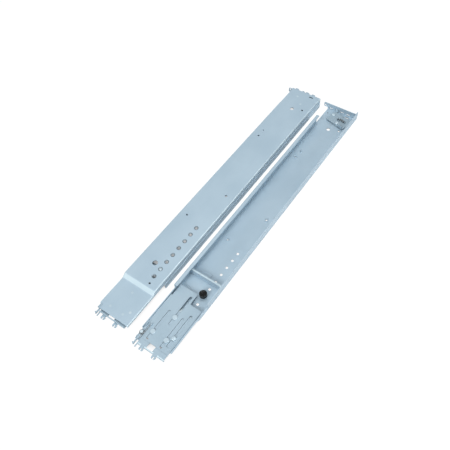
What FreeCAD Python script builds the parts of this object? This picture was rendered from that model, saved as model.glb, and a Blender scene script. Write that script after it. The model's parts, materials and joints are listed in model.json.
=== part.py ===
import FreeCAD, Part
import math
import os
import re
import Sketcher

# Sizes in millimetres, angles in degrees. X runs along the rail away from its adjustable end,
# Y across it towards the eared edge, Z up. Outlines are drawn in rail coordinates: X from the
# web's near edge, Y from the row of countersunk holes, Z from the smooth face of the upturned rail.
DIMENSIONS = {
    # Channel
    "SheetThick": 1.5,
    "BendRadius": 2.0,
    "StepRadius": 1.2,
    "RailLength": 705.0,
    "WebWidth": 76.0,
    "EdgeBelow": 22.5,
    "JoggleStart": 72.0,
    "JoggleRun": 9.5,
    "JoggleDepth": 7.3,
    "LowFlange": 12.4,
    "TallFlange": 24.8,
    "TallStart": 106.0,
    "LipWidth": 7.5,
    "LipShort": 60.0,
    "StepOut": 1.5,
    "CornerGap": 0.8,
    "CornerNotchLength": 10.0,
    "CornerNotchWidth": 8.0,
    "EndFlangeHeight": 15.0,
    "EarReach": 10.0,
    "EarFoot": 3.5,
    "EarHoleRadius": 2.25,
    "EarHoleHeight": 7.0,
    "EarCorner": 2.0,
    "DimpleBack": 18.1,
    "DimpleIn": 7.2,
    "DimpleRadius": 2.0,
    "DimpleDepth": 0.9,
    "CollarWall": 0.9,
    "CollarRise": 2.0,
    "FootSlotBack": 9.3,
    "FootSlotLow": -5.5,
    "FootSlotHigh": 1.5,
    "FootSlotRadius": 1.5,
    "FitPlay": 0.02,
    # Row of countersunk holes
    "HoleStart": 105.0,
    "HolePitch": 19.05,
    "HoleCount": 8,
    "HoleRadius": 2.75,
    "SinkRadius": 4.8,
    "SinkDepth": 1.1,
    "ThumbHole": 1,
    "OpenHole": 2,
    # Hook teeth and the rack's square hole pitches
    "RackFirst": 6.35,
    "RackPitch": 15.875,
    "RackGap": 12.7,
    "ToothWidth": 8.8,
    "ToothReach": 8.0,
    "ToothHook": 1.4,
    "PostThick": 2.3,
    "ProngGap": 2.6,
    "ProngDepth": 4.4,
    "FarToothRise": 4.8,
    "WindowHeight": 2.8,
    # Sliding bracket
    "SlideGap": 0.1,
    "BracketNear": -18.5,
    "BracketFold": -8.7,
    "PlateEnd": 10.45,
    "BracketPlayRight": 2.0,
    "BracketPlayLeft": 1.0,
    "ShoulderStart": 92.0,
    "ShoulderStep": 2.5,
    "StripRise": 0.8,
    "StripShort": 9.6,
    "ShelfReach": 4.3,
    "LipDepth": 5.0,
    "LipBend": 3.0,
    "NotchRoom": 7.95,
    "NotchPlay": 0.5,
    "NotchRadius": 4.0,
    "WindowIn": 1.9,
    "WindowPast": 3.0,
    "WindowLow": 7.9,
    "WindowHigh": 22.2,
    "Retract": 14.7,
    "Extend": 47.5,
    "StopSlack": 2.5,
    "ShankRadius": 2.65,
    "ShankPlay": 0.1,
    "HeadRadius": 5.0,
    "HeadThick": 1.4,
    "HeadEdge": 0.5,
    "NearRivetX": 14.2,
    "MiddleRivetX": 57.8,
    "LeftRivetIn": 20.6,
    "MiddleRivetY": 15.3,
    "RightRivetY": 0.6,
    "StopX": 24.2,
    "StopY": -8.6,
    "StopHeadRadius": 3.6,
    "StopHeadThick": 2.2,
    "WasherRadius": 4.4,
    "WasherThick": 0.8,
    "SocketRadius": 1.7,
    "SocketDepth": 1.4,
    # Cross brace
    "BraceFromRow": 48.0,
    "BraceRise": 14.0,
    "BraceReturn": 3.6,
    "BraceSideGap": 0.3,
    "FootLength": 18.0,
    "FootLow": 13.0,
    "FootHigh": 30.0,
    # Thumbscrew
    "BushRadius": 4.6,
    "BushRise": 4.5,
    "StudRadius": 1.95,
    "StudPlay": 0.05,
    "StudTip": 0.6,
    "StudGrip": 6.0,
    "KnobRadius": 7.6,
    "KnobHeight": 9.5,
    "KnobLift": 0.2,
    "FluteCount": 18,
    "FluteRadius": 0.8,
    "KnobEdge": 0.8,
    "DishRadius": 4.2,
    "DishDepth": 1.0,
    # Latch of the sliding bracket
    "LatchGap": 0.2,
    "NearPivotX": 1.5,
    "NearPivotIn": 5.5,
    "PivotRadius": 2.5,
    "PivotPlay": 0.05,
    "PivotHeadRadius": 3.1,
    "PivotHeadThick": 1.0,
    "BossRadius": 4.6,
    "NoseOut": 6.0,
    "NoseTip": 1.5,
    "NoseWidth": 3.0,
    "ArmBelow": 1.6,
    "Barb": 2.3,
    "ArmWideStart": -12.0,
    "ArmAbove": 2.6,
    "TailEnd": 24.0,
    "TailBelow": 1.3,
    "TailAbove": 2.4,
    "FingerStart": 15.0,
    "FingerRise": 6.0,
    "CoilRadius": 4.1,
    "WireRadius": 0.5,
    "CoilTurns": 3,
    "CoilPitch": 0.95,
    "LegReach": 23.0,
    "LegShort": 12.5,
    "LugThick": 1.5,
    "LugLength": 4.0,
    "LugGap": 0.3,
    "StopLugStart": -10.0,
    # Latch at the fixed end
    "FarPivotBack": 21.8,
    "FarPivotUp": 48.6,
    "FarRest": 15.0,
    "FarTravel": 4.5,
    "FarLift": 3.3,
    "CollarRadius": 4.0,
    "GuideReach": 28.2,
    "GuideAngle": 136.2,
    "LeverBack": 20.6,
    "LeverFront": 12.0,
    "LeverTop": 4.5,
    "LeverWallGap": 0.6,
    "LeverCorner": 2.5,
    "NosePast": 4.9,
    "NoseLow": -4.0,
    "NoseHigh": 2.0,
    "NoseHook": 1.6,
    "NosePlay": 0.5,
    "TabWidth": 12.0,
    "TabRise": 6.0,
    "ArcPlay": 0.2,
    "WebPostBack": 29.4,
    "WebPostUp": 29.6,
    "PostRadius": 1.4,
    "PostAbove": 1.3,
    "PostOpening": 5.4,
    "LeverPostAlong": -1.3,
    "LeverPostAcross": -36.8,
    "CoilSpringRadius": 1.6,
    "CoilSpringWire": 0.4,
    "CoilSpringLift": 2.4,
    # The two rails as they lie
    "PairSpacing": 95.5,
    "PairShift": -6.7,
    "BracketDifference": 12.8,
    "AccessX": 129.2,
    "AccessY": 17.2,
    "AccessRadius": 5.4,
}

# Single holes in the web: distance from the near edge, distance from the hole row, radius.
NEAR_HOLES = {
    "JoggleHole": (88.7, -2.7, 2.0),
    "UpperHole": (254.8, 35.9, 2.3),
    "LowerHole": (338.2, -3.4, 2.75),
}
# The same for the holes that keep to the far end: distance from the far end first.
FAR_HOLES = {
    "FarUpperHole": (182.6, 35.5, 2.3),
    "PilotHole": (162.2, 35.2, 1.6),
    "TransportHole": (66.3, 16.7, 4.3),
    "FarLowerHole": (59.0, -6.6, 2.3),
}
COLLARED_HOLES = ("UpperHole", "LowerHole", "FarUpperHole", "PilotHole")
for table, first in ((NEAR_HOLES, "Along"), (FAR_HOLES, "Back")):
    for hole_name, hole_sizes in table.items():
        for suffix, size in zip((first, "Across", "Radius"), hole_sizes):
            DIMENSIONS[hole_name + suffix] = size

# Places worked out from the sizes above.
DERIVED = {
    "EdgeLeft": "WebWidth - EdgeBelow",
    "InnerLeft": "EdgeLeft - SheetThick",
    "InnerRight": "SheetThick - EdgeBelow",
    "OuterRight": "0 - EdgeBelow - StepOut",
    "JoggleEnd": "JoggleStart + JoggleRun",
    "FrontTop": "JoggleDepth + SheetThick",
    "JoggleShift": "SheetThick * tan(atan(JoggleDepth / JoggleRun) / 2)",
    "EndFace": "RailLength - SheetThick",
    "WallEnd": "EndFace - CornerGap",
    "LipEnd": "RailLength - LipShort",
    "DimpleX": "RailLength - DimpleBack",
    "DimpleY": "InnerLeft - DimpleIn",
    "FootSlotX": "RailLength - FootSlotBack",
    "RackSix": "EdgeLeft + RackFirst",
    "RackFive": "RackSix - RackPitch",
    "RackFour": "RackFive - RackPitch",
    "RackThree": "RackFour - RackGap",
    "RackTwo": "RackThree - RackPitch",
    "BracketRight": "InnerRight + BracketPlayRight",
    "BracketLeft": "InnerLeft - BracketPlayLeft",
    "BracketFar": "MiddleRivetX + Extend + SlotRadius + PlateEnd",
    "StripLeft": "BracketLeft - StripShort",
    "ShelfNear": "BracketFold - ShelfReach",
    "NotchStart": "ThumbX - KnobRadius - Retract - NotchRoom",
    "WindowStart": "BracketNear + WindowIn",
    "WindowEnd": "BracketFold + WindowPast",
    "LeftRivetY": "InnerLeft - LeftRivetIn",
    "BraceX": "HoleStart + BraceFromRow",
    "PlateBase": "FrontTop + SlideGap",
    "PlateTop": "PlateBase + SheetThick",
    "StripBase": "PlateBase + StripRise",
    "HeadBase": "PlateTop + SlideGap",
    "SlotRadius": "ShankRadius + ShankPlay",
    "NotchTop": "KnobRadius + NotchPlay",
    "WasherTop": "HeadBase + WasherThick",
    "ThumbX": "HoleStart + ThumbHole * HolePitch",
    "BushTop": "SheetThick + BushRise",
    "KnobBase": "BushTop + KnobLift",
    "StudBore": "StudRadius + StudPlay",
    "LatchBase": "PlateTop + LatchGap",
    "LatchTop": "LatchBase + SheetThick",
    "NearPivotY": "InnerLeft - NearPivotIn",
    "NoseX": "BracketNear - NoseOut",
    "ArmLow": "NearPivotY - ArmBelow",
    "ArmHigh": "ArmLow + NoseWidth",
    "ArmWideHigh": "NearPivotY + ArmAbove",
    "TailLow": "NearPivotY - TailBelow",
    "TailHigh": "NearPivotY + TailAbove",
    "BarbBack": "BracketNear - PostThick",
    "CoilBase": "LatchTop + LatchGap + WireRadius",
    "CoilTop": "CoilBase + (CoilTurns - 1) * CoilPitch",
    "PivotTop": "CoilTop + WireRadius + LatchGap",
    "LegLine": "NearPivotY - CoilRadius",
    "LugLow": "LegLine + WireRadius + LugGap",
    "AnchorHigh": "LegLine - WireRadius - LugGap",
    "StopLugLow": "ArmWideHigh + LugGap",
    "FarBase": "SheetThick + FarLift",
    "FarTop": "FarBase + SheetThick",
    "FarHeadBase": "FarTop + SlideGap",
    "SpringAxis": "FarTop + CoilSpringLift",
    "PostTop": "SpringAxis + PostAbove",
    "FarPivotX": "RailLength - FarPivotBack",
    "FarPivotY": "InnerRight + FarPivotUp",
    "NoseReach": "FarPivotBack + PostThick + NosePast",
    "LeverEnd": "(FarPivotUp - LeverWallGap - LeverFront * sin(FarRest)) / cos(FarRest)",
    "WebPostX": "RailLength - WebPostBack",
    "WebPostY": "InnerRight + WebPostUp",
    "GuideX": "FarPivotX + GuideReach * cos(GuideAngle)",
    "GuideY": "FarPivotY - GuideReach * sin(GuideAngle)",
    "LeverPostX": "FarPivotX + LeverPostAlong * cos(FarRest) + LeverPostAcross * sin(FarRest)",
    "LeverPostY": "FarPivotY - LeverPostAlong * sin(FarRest) + LeverPostAcross * cos(FarRest)",
    "SpringRunX": "LeverPostX - WebPostX",
    "SpringRunY": "LeverPostY - WebPostY",
    "SpringSpan": "sqrt(SpringRunX ^ 2 + SpringRunY ^ 2)",
    "RingRadius": "PostRadius + CoilSpringWire + PivotPlay",
    "RowCentre": "HoleStart + (OpenHole + HoleCount - 1) / 2 * HolePitch",
}
for hole_name in FAR_HOLES:
    DERIVED[hole_name + "Along"] = f"RailLength - {hole_name}Back"

NAME = re.compile(r"[A-Z][A-Za-z]+")
RIGHT = "right_"
LEFT = "left_"

document = FreeCAD.newDocument("SlidingRailPair")
sheet = document.addObject("Spreadsheet::Sheet", "Dims")
nodes = []
riding_nodes = []


def fill_sheet():
    for row, (alias, number) in enumerate(DIMENSIONS.items(), start=1):
        sheet.set(f"A{row}", alias)
        sheet.set(f"B{row}", str(number))
        sheet.setAlias(f"B{row}", alias)
    document.recompute()


def formula(text):
    # Size names become cells of the sheet, and place names are opened out into sizes.
    def opened(match):
        word = match.group(0)
        if word in DERIVED:
            return "(" + formula(DERIVED[word]) + ")"
        return "Dims." + word

    return NAME.sub(opened, str(text))


def value(text):
    result = sheet.evalExpression(formula(text))
    return float(getattr(result, "Value", result))


def new_body(label):
    body = document.addObject("PartDesign::Body", label)
    body.Label = label
    return body


def place(thing, along="0", across="0", turn="0"):
    # The common origin is the middle of the row of open holes.
    thing.setExpression("Placement.Base.x", formula(f"{along} - RowCentre"))
    thing.setExpression("Placement.Base.y", formula(across))
    if turn != "0":
        thing.Placement.Rotation = FreeCAD.Rotation(FreeCAD.Vector(0, 0, 1), value(turn))
        thing.setExpression("Placement.Rotation.Angle", formula(turn))


def keep_node(thing, rides=False):
    nodes.append(thing)
    if rides:
        riding_nodes.append(thing)
    return thing


def origin_part(body, role):
    return next(part for part in body.Origin.OriginFeatures if part.Role == role)


def sketch_on(body, role, offset="0"):
    sketch = body.newObject("Sketcher::SketchObject", "Outline")
    sketch.AttachmentSupport = (origin_part(body, role), [""])
    sketch.MapMode = "FlatFace"
    sketch.setExpression("AttachmentOffset.Base.z", formula(offset))
    return sketch


def flat_sketch(body, height="0"):
    return sketch_on(body, "XY_Plane", height)


def side_sketch(body, across="0"):
    # Its pad grows from this distance across the rail towards the right edge.
    return sketch_on(body, "XZ_Plane", f"0 - ({across})")


def end_sketch(body, along="0"):
    return sketch_on(body, "YZ_Plane", along)


def fix_point(sketch, shape, point, first, second):
    # Holds one point of a sketch at two bound distances from its origin.
    for kind, text in (("DistanceX", first), ("DistanceY", second)):
        number = sketch.addConstraint(Sketcher.Constraint(kind, -1, 1, shape, point, value(text)))
        sketch.setExpression(f"Constraints[{number}]", formula(text))


def outline(sketch, points):
    first = sketch.GeometryCount
    count = len(points)
    corners = [FreeCAD.Vector(value(along), value(across), 0) for along, across in points]
    for number in range(count):
        line = Part.LineSegment(corners[number], corners[(number + 1) % count])
        sketch.addGeometry(line, False)
    for number in range(count):
        following = first + (number + 1) % count
        sketch.addConstraint(Sketcher.Constraint("Coincident", first + number, 2, following, 1))
    for number, (along, across) in enumerate(points):
        fix_point(sketch, first + number, 1, along, across)
    return sketch


def rectangle(sketch, low, high):
    corners = [(low[0], low[1]), (high[0], low[1]), (high[0], high[1]), (low[0], high[1])]
    return outline(sketch, corners)


def circle(sketch, along, across, radius):
    number = sketch.GeometryCount
    centre = FreeCAD.Vector(value(along), value(across), 0)
    sketch.addGeometry(Part.Circle(centre, FreeCAD.Vector(0, 0, 1), value(radius)), False)
    fix_point(sketch, number, 3, along, across)
    limit = sketch.addConstraint(Sketcher.Constraint("Radius", number, value(radius)))
    sketch.setExpression(f"Constraints[{limit}]", formula(radius))
    return sketch


def slot(sketch, start, end, radius):
    # A straight slot between two end centres.
    first = sketch.GeometryCount
    near = FreeCAD.Vector(value(start[0]), value(start[1]), 0)
    far = FreeCAD.Vector(value(end[0]), value(end[1]), 0)
    heading = math.atan2(far.y - near.y, far.x - near.x)
    side = FreeCAD.Vector(-math.sin(heading), math.cos(heading), 0) * value(radius)
    rounds = [Part.Circle(centre, FreeCAD.Vector(0, 0, 1), value(radius)) for centre in (near, far)]
    quarter = math.pi / 2
    arcs = [
        Part.ArcOfCircle(rounds[0], heading + quarter, heading + 3 * quarter),
        Part.ArcOfCircle(rounds[1], heading - quarter, heading + quarter),
    ]
    sides = [Part.LineSegment(near - side, far - side), Part.LineSegment(far + side, near + side)]
    for shape in (arcs[0], sides[0], arcs[1], sides[1]):
        sketch.addGeometry(shape, False)
    for number in range(4):
        following = first + (number + 1) % 4
        sketch.addConstraint(Sketcher.Constraint("Tangent", first + number, 2, following, 1))
    sketch.addConstraint(Sketcher.Constraint("Equal", first, first + 2))
    limit = sketch.addConstraint(Sketcher.Constraint("Radius", first, value(radius)))
    sketch.setExpression(f"Constraints[{limit}]", formula(radius))
    fix_point(sketch, first, 3, *start)
    fix_point(sketch, first + 2, 3, *end)
    return sketch


def pad(body, sketch, length="SheetThick"):
    feature = body.newObject("PartDesign::Pad", "Pad")
    feature.Profile = sketch
    feature.setExpression("Length", formula(length))
    document.recompute()
    return feature


def cut_through(body, sketch, depth="4 * SheetThick"):
    # Cuts half of the depth to each side of the sketch.
    before = body.Shape.Volume
    feature = body.newObject("PartDesign::Pocket", "Cut")
    feature.Profile = sketch
    feature.Midplane = True
    feature.setExpression("Length", formula(depth))
    document.recompute()
    if not body.Shape.Volume < before:
        raise ValueError(f"{body.Label}: a cut removed nothing")
    return feature


def revolve(body, points):
    # Turns a profile of radius and height round the body's own upright axis.
    sketch = outline(side_sketch(body), points)
    feature = body.newObject("PartDesign::Revolution", "Turned")
    feature.Profile = sketch
    feature.ReferenceAxis = (sketch, ["V_Axis"])
    feature.Angle = 360
    document.recompute()
    return feature


def round_edges(body, radius, keep):
    tip = body.Tip
    chosen = [
        f"Edge{number}" for number, edge in enumerate(tip.Shape.Edges, start=1) if keep(edge)
    ]
    if not chosen:
        raise ValueError(f"{body.Label}: no edge to round")
    feature = body.newObject("PartDesign::Fillet", "Rounding")
    feature.Base = (tip, chosen)
    feature.setExpression("Radius", formula(radius))
    document.recompute()
    return feature


def spans(edge, x=None, y=None, z=None):
    # True where the edge lies within the given numbers: one for a place, two for a range.
    box = edge.BoundBox
    limits = ((x, box.XMin, box.XMax), (y, box.YMin, box.YMax), (z, box.ZMin, box.ZMax))
    for wanted, low, high in limits:
        if wanted is None:
            continue
        bottom, top = wanted if isinstance(wanted, tuple) else (wanted, wanted)
        if low < bottom - 0.01 or high > top + 0.01:
            return False
    return True


def upright(edge):
    box = edge.BoundBox
    return box.XLength < 0.01 and box.YLength < 0.01


def turned(along, across, angle):
    # A point turned about the origin.
    return (
        f"({along}) * cos({angle}) - ({across}) * sin({angle})",
        f"({along}) * sin({angle}) + ({across}) * cos({angle})",
    )


def ring(body, along, height, radius, wire, rise="0"):
    # A flat-sided ring, two wires high and as much taller as the rise.
    plan = flat_sketch(body, f"{height} - {wire}")
    circle(plan, along, "0", f"{radius} + {wire}")
    circle(plan, along, "0", f"{radius} - {wire}")
    pad(body, plan, f"2 * ({wire}) + {rise}")


def tooth(sketch, root, face, way, centre, pronged=True):
    # A hook that slips through a square hole and drops behind its lower rim.
    def out(distance):
        return f"{face} + ({way}) * ({distance})"

    low = f"{centre} - ToothWidth / 2"
    high = f"{centre} + ToothWidth / 2"
    points = [
        (root, f"{low} + ToothHook"),
        (out("PostThick"), f"{low} + ToothHook"),
        (out("PostThick"), low),
        (out("ToothReach - ToothHook"), low),
        (out("ToothReach"), f"{low} + ToothHook"),
    ]
    if pronged:
        points += [
            (out("ToothReach"), f"{centre} - ProngGap / 2"),
            (out("ToothReach - ProngDepth"), f"{centre} - ProngGap / 2"),
            (out("ToothReach - ProngDepth"), f"{centre} + ProngGap / 2"),
            (out("ToothReach"), f"{centre} + ProngGap / 2"),
        ]
    points += [
        (out("ToothReach"), f"{high} - ToothHook"),
        (out("ToothReach - ToothHook"), high),
        (root, high),
    ]
    return outline(sketch, points)


UNDER = [("0", "JoggleDepth"), ("JoggleStart", "JoggleDepth"), ("JoggleEnd", "0")]


def low_wall(body, outer, end):
    # Follows the web's step along its lower edge.
    wall = UNDER + [(end, "0"), (end, "LowFlange"), ("0", "LowFlange")]
    pad(body, outline(side_sketch(body, outer), wall))


def round_fold(body, across):
    # Rounds the outer edge where the web turns up into a low wall.
    side = value(across)
    base = value("JoggleDepth")

    def fold(edge):
        box = edge.BoundBox
        on_web = box.ZMax < base + 0.01 and (box.ZMin < 0.01 or box.ZMin > base - 0.01)
        return spans(edge, y=side) and on_web and box.XLength > 5

    round_edges(body, "BendRadius", fold)


def left_side(body):
    web = UNDER + [
        ("LipEnd", "0"),
        ("LipEnd", "SheetThick"),
        ("JoggleEnd + JoggleShift", "SheetThick"),
        ("JoggleStart + JoggleShift", "FrontTop"),
        ("0", "FrontTop"),
    ]
    pad(body, outline(side_sketch(body, "EdgeLeft"), web), "WebWidth")
    low_wall(body, "EdgeLeft", "LipEnd")
    tall = side_sketch(body, "EdgeLeft")
    pad(body, rectangle(tall, ("TallStart", "SheetThick"), ("LipEnd", "TallFlange")))
    lip = flat_sketch(body, "TallFlange - SheetThick")
    pad(body, rectangle(lip, ("TallStart", "EdgeLeft - LipWidth"), ("LipEnd", "EdgeLeft")))
    round_fold(body, "EdgeLeft")
    left = value("EdgeLeft")
    top = value("TallFlange")
    round_edges(body, "BendRadius", lambda edge: spans(edge, y=left, z=top))


def right_side(body):
    far_web = flat_sketch(body)
    rectangle(far_web, ("LipEnd", "0 - EdgeBelow"), ("RailLength", "InnerLeft"))
    pad(body, far_web)
    low_wall(body, "InnerRight", "WallEnd")
    low = "LowFlange - SheetThick"
    ledge = flat_sketch(body, low)
    pad(body, rectangle(ledge, ("TallStart", "OuterRight"), ("WallEnd", "InnerRight")))
    outer_wall = side_sketch(body, "OuterRight + SheetThick")
    pad(body, rectangle(outer_wall, ("TallStart", low), ("WallEnd", "TallFlange")))
    round_fold(body, "0 - EdgeBelow")
    under_step = value(low)
    outer = value("OuterRight")
    round_edges(body, "StepRadius", lambda edge: spans(edge, y=outer, z=under_step))


def end_flange(body):
    profile = [
        ("0 - EdgeBelow", "0"),
        ("EdgeLeft", "0"),
        ("EdgeLeft", "EarFoot"),
        ("EdgeLeft + EarReach", "EarFoot"),
        ("EdgeLeft + EarReach", "EndFlangeHeight"),
        ("0 - EdgeBelow", "EndFlangeHeight"),
    ]
    pad(body, outline(end_sketch(body, "EndFace"), profile))
    ear_left = value("EdgeLeft + EarReach")
    end = value("RailLength")

    def ear_corner(edge):
        return spans(edge, y=ear_left) and edge.BoundBox.ZLength < 0.01

    round_edges(body, "EarCorner", ear_corner)
    round_edges(body, "StepRadius", lambda edge: spans(edge, x=end, z=0))


def channel_teeth(body):
    for centre in ("RackTwo", "RackThree", "RackFive"):
        low = f"{centre} - ToothWidth / 2"
        high = f"{centre} + ToothWidth / 2"
        window = end_sketch(body, "EndFace")
        rectangle(window, (low, "FarToothRise - WindowHeight"), (high, "FarToothRise"))
        cut_through(body, window)
        plan = flat_sketch(body, "FarToothRise")
        pad(body, tooth(plan, "EndFace", "RailLength", "1", centre, pronged=False))


def channel_holes(body):
    # Some holes keep a raised collar on the inner side.
    collars = flat_sketch(body, "SheetThick")
    for name in COLLARED_HOLES:
        circle(collars, name + "Along", name + "Across", name + "Radius + CollarWall")
    pad(body, collars, "CollarRise")
    plan = flat_sketch(body)
    for name in (*NEAR_HOLES, *FAR_HOLES):
        circle(plan, name + "Along", name + "Across", name + "Radius")
    slot(plan, ("FootSlotX", "FootSlotLow"), ("FootSlotX", "FootSlotHigh"), "FootSlotRadius")
    fixed = "PivotRadius + FitPlay"
    circle(plan, "FarPivotX", "FarPivotY", fixed)
    circle(plan, "GuideX", "GuideY", fixed)
    cut_through(body, plan, "4 * SheetThick + 2 * CollarRise")
    dimple = flat_sketch(body, "SheetThick")
    cut_through(body, circle(dimple, "DimpleX", "DimpleY", "DimpleRadius"), "2 * DimpleDepth")
    front = flat_sketch(body, "JoggleDepth")
    for along, across in SLIDE_RIVETS + [("StopX", "StopY")]:
        circle(front, along, across, "ShankRadius + FitPlay")
    cut_through(body, front)
    ear = end_sketch(body, "EndFace")
    circle(ear, "RackSix", "EarHoleHeight", "EarHoleRadius")
    nose_low = "FarPivotY + NoseLow - NosePlay"
    nose_high = (
        "FarPivotY + NoseHigh / cos(FarTravel)"
        " + (RailLength - FarPivotX) * tan(FarTravel) + NosePlay"
    )
    rectangle(ear, (nose_low, "FarBase - NosePlay"), (nose_high, "FarTop + NosePlay"))
    cut_through(body, ear)
    notch = flat_sketch(body, "JoggleDepth")
    corner = ("CornerNotchLength", "EdgeLeft + SheetThick")
    rectangle(notch, ("0 - SheetThick", "EdgeLeft - CornerNotchWidth"), corner)
    cut_through(body, notch, "4 * LowFlange")


def hole_row(body):
    # Countersunk from the smooth face and repeated along the rail.
    drill = flat_sketch(body)
    circle(drill, "HoleStart", "0", "HoleRadius")
    drilled = cut_through(body, drill)
    sink = body.newObject("PartDesign::SubtractiveCone", "Countersink")
    sink.AttachmentSupport = (origin_part(body, "XY_Plane"), [""])
    sink.MapMode = "FlatFace"
    sink.setExpression("AttachmentOffset.Base.x", formula("HoleStart"))
    sink.setExpression("Radius1", formula("SinkRadius"))
    sink.setExpression("Radius2", formula("HoleRadius"))
    sink.setExpression("Height", formula("SinkDepth"))
    document.recompute()
    row = body.newObject("PartDesign::LinearPattern", "HoleRow")
    row.Originals = [drilled, sink]
    row.Direction = (origin_part(body, "X_Axis"), [""])
    body.Tip = row
    row.setExpression("Length", formula("(HoleCount - 1) * HolePitch"))
    row.setExpression("Occurrences", formula("HoleCount"))
    document.recompute()


def web_post(body):
    post = flat_sketch(body, "SheetThick")
    circle(post, "WebPostX", "WebPostY", "PostRadius")
    pad(body, post, "PostTop - SheetThick")


def make_channel():
    body = new_body(RIGHT + "channel")
    place(body)
    left_side(body)
    right_side(body)
    end_flange(body)
    channel_teeth(body)
    channel_holes(body)
    hole_row(body)
    web_post(body)
    keep_node(body)


SLIDE_RIVETS = [
    ("NearRivetX", "LeftRivetY"),
    ("NearRivetX", "RightRivetY"),
    ("MiddleRivetX", "MiddleRivetY"),
]


def bracket_plate(body):
    shoulder = "BracketLeft - ShoulderStep"
    plan = [
        ("BracketFold", "BracketRight"),
        ("NotchStart", "BracketRight"),
        ("NotchStart", "NotchTop"),
        ("BracketFar", "NotchTop"),
        ("BracketFar", shoulder),
        ("ShoulderStart", shoulder),
        ("ShoulderStart", "BracketLeft"),
        ("ShelfNear", "BracketLeft"),
        ("ShelfNear", "StripLeft"),
        ("BracketFold", "StripLeft"),
    ]
    pad(body, outline(flat_sketch(body, "PlateBase"), plan))
    notch = value("NotchStart")
    top = value("NotchTop")
    round_edges(body, "NotchRadius", lambda edge: upright(edge) and spans(edge, x=notch, y=top))


def bracket_strip(body):
    strip = flat_sketch(body, "StripBase")
    far = ("BracketFold + SheetThick", "StripLeft")
    pad(body, rectangle(strip, ("BracketNear", "BracketRight"), far))
    lip = flat_sketch(body, "StripBase - LipDepth")
    edge = ("BracketNear + SheetThick", "StripLeft")
    pad(body, rectangle(lip, ("BracketNear", "BracketRight"), edge), "LipDepth + SheetThick")
    bends = [
        ("LipBend - SheetThick", value("BracketNear + SheetThick"), value("StripBase")),
        ("LipBend", value("BracketNear"), value("StripBase + SheetThick")),
    ]
    for radius, along, height in bends:
        round_edges(body, radius, lambda edge: spans(edge, x=along, z=height))
    root = "BracketNear + LipBend"
    for centre in ("RackTwo", "RackFour"):
        hooks = flat_sketch(body, "StripBase")
        pad(body, tooth(hooks, root, "BracketNear", "-1", centre))
    prong = flat_sketch(body, "StripBase")
    side = ("BracketNear - ToothReach", "RackFive - ToothWidth / 2")
    pad(body, rectangle(prong, side, (root, "StripLeft")))


def bracket_cuts(body):
    plan = flat_sketch(body, "PlateBase")
    for along, across in SLIDE_RIVETS:
        slot(plan, (f"{along} - Retract", across), (f"{along} + Extend", across), "SlotRadius")
    start = ("StopX - Retract - StopSlack", "StopY")
    end = ("StopX + Extend + StopSlack", "StopY")
    slot(plan, start, end, "SlotRadius")
    circle(plan, "NearPivotX", "NearPivotY", "PivotRadius + FitPlay")
    rectangle(plan, ("WindowStart", "WindowLow"), ("WindowEnd", "WindowHigh"))
    cut_through(body, plan, "8 * SheetThick")


def bracket_lugs(body):
    anchor = flat_sketch(body, "PlateTop")
    low = ("NearPivotX + LegReach - LugLength", "AnchorHigh - LugThick")
    pad(body, rectangle(anchor, low, ("NearPivotX + LegReach", "AnchorHigh")), "CoilTop - PlateTop")
    stop = flat_sketch(body, "PlateTop")
    high = ("StopLugStart + LugLength", "StopLugLow + LugThick")
    pad(body, rectangle(stop, ("StopLugStart", "StopLugLow"), high), "LatchTop - PlateTop")


def make_bracket():
    body = new_body(RIGHT + "slide_bracket")
    place(body)
    bracket_plate(body)
    bracket_strip(body)
    bracket_cuts(body)
    bracket_lugs(body)
    keep_node(body, rides=True)


def headed_pin(label, along, across, profile):
    body = new_body(label)
    place(body, along, across)
    revolve(body, profile)
    return body


def make_slide_rivets():
    profile = [
        ("0", "JoggleDepth"),
        ("ShankRadius", "JoggleDepth"),
        ("ShankRadius", "HeadBase"),
        ("HeadRadius", "HeadBase"),
        ("HeadRadius", "HeadBase + HeadThick - HeadEdge"),
        ("HeadRadius - HeadEdge", "HeadBase + HeadThick"),
        ("0", "HeadBase + HeadThick"),
    ]
    rivets = [headed_pin("rivet", along, across, profile) for along, across in SLIDE_RIVETS]
    group = document.addObject("Part::Compound", RIGHT + "slide_rivets")
    group.Label = RIGHT + "slide_rivets"
    group.Links = rivets
    keep_node(group)


def make_stop_screw():
    top = "WasherTop + StopHeadThick"
    profile = [
        ("0", "JoggleDepth"),
        ("ShankRadius", "JoggleDepth"),
        ("ShankRadius", "WasherTop"),
        ("StopHeadRadius", "WasherTop"),
        ("StopHeadRadius", f"{top} - HeadEdge"),
        ("StopHeadRadius - HeadEdge", top),
        ("0", top),
    ]
    screw = headed_pin(RIGHT + "stop_screw", "StopX", "StopY", profile)
    socket = flat_sketch(screw, top)
    outline(socket, [turned("SocketRadius", "0", str(60 * side)) for side in range(6)])
    cut_through(screw, socket, "2 * SocketDepth")
    keep_node(screw)
    bore = "ShankRadius + FitPlay"
    ring_profile = [
        (bore, "HeadBase"),
        ("WasherRadius", "HeadBase"),
        ("WasherRadius", "WasherTop"),
        (bore, "WasherTop"),
    ]
    keep_node(headed_pin(RIGHT + "stop_washer", "StopX", "StopY", ring_profile))


def make_cross_brace():
    body = new_body(RIGHT + "cross_brace")
    place(body)
    top = "SheetThick + BraceRise"
    profile = [
        ("BraceX", "SheetThick"),
        ("BraceX + SheetThick", "SheetThick"),
        ("BraceX + SheetThick", f"{top} - SheetThick"),
        ("BraceX + BraceReturn", f"{top} - SheetThick"),
        ("BraceX + BraceReturn", top),
        ("BraceX", top),
    ]
    span = "InnerLeft - InnerRight - 2 * BraceSideGap"
    pad(body, outline(side_sketch(body, "InnerLeft - BraceSideGap"), profile), span)
    near = value("BraceX")
    height = value(top)
    round_edges(body, "StepRadius", lambda edge: spans(edge, x=near, z=height))
    foot = flat_sketch(body, "SheetThick")
    pad(body, rectangle(foot, ("BraceX", "FootLow"), ("BraceX + FootLength", "FootHigh")))
    keep_node(body)


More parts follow.
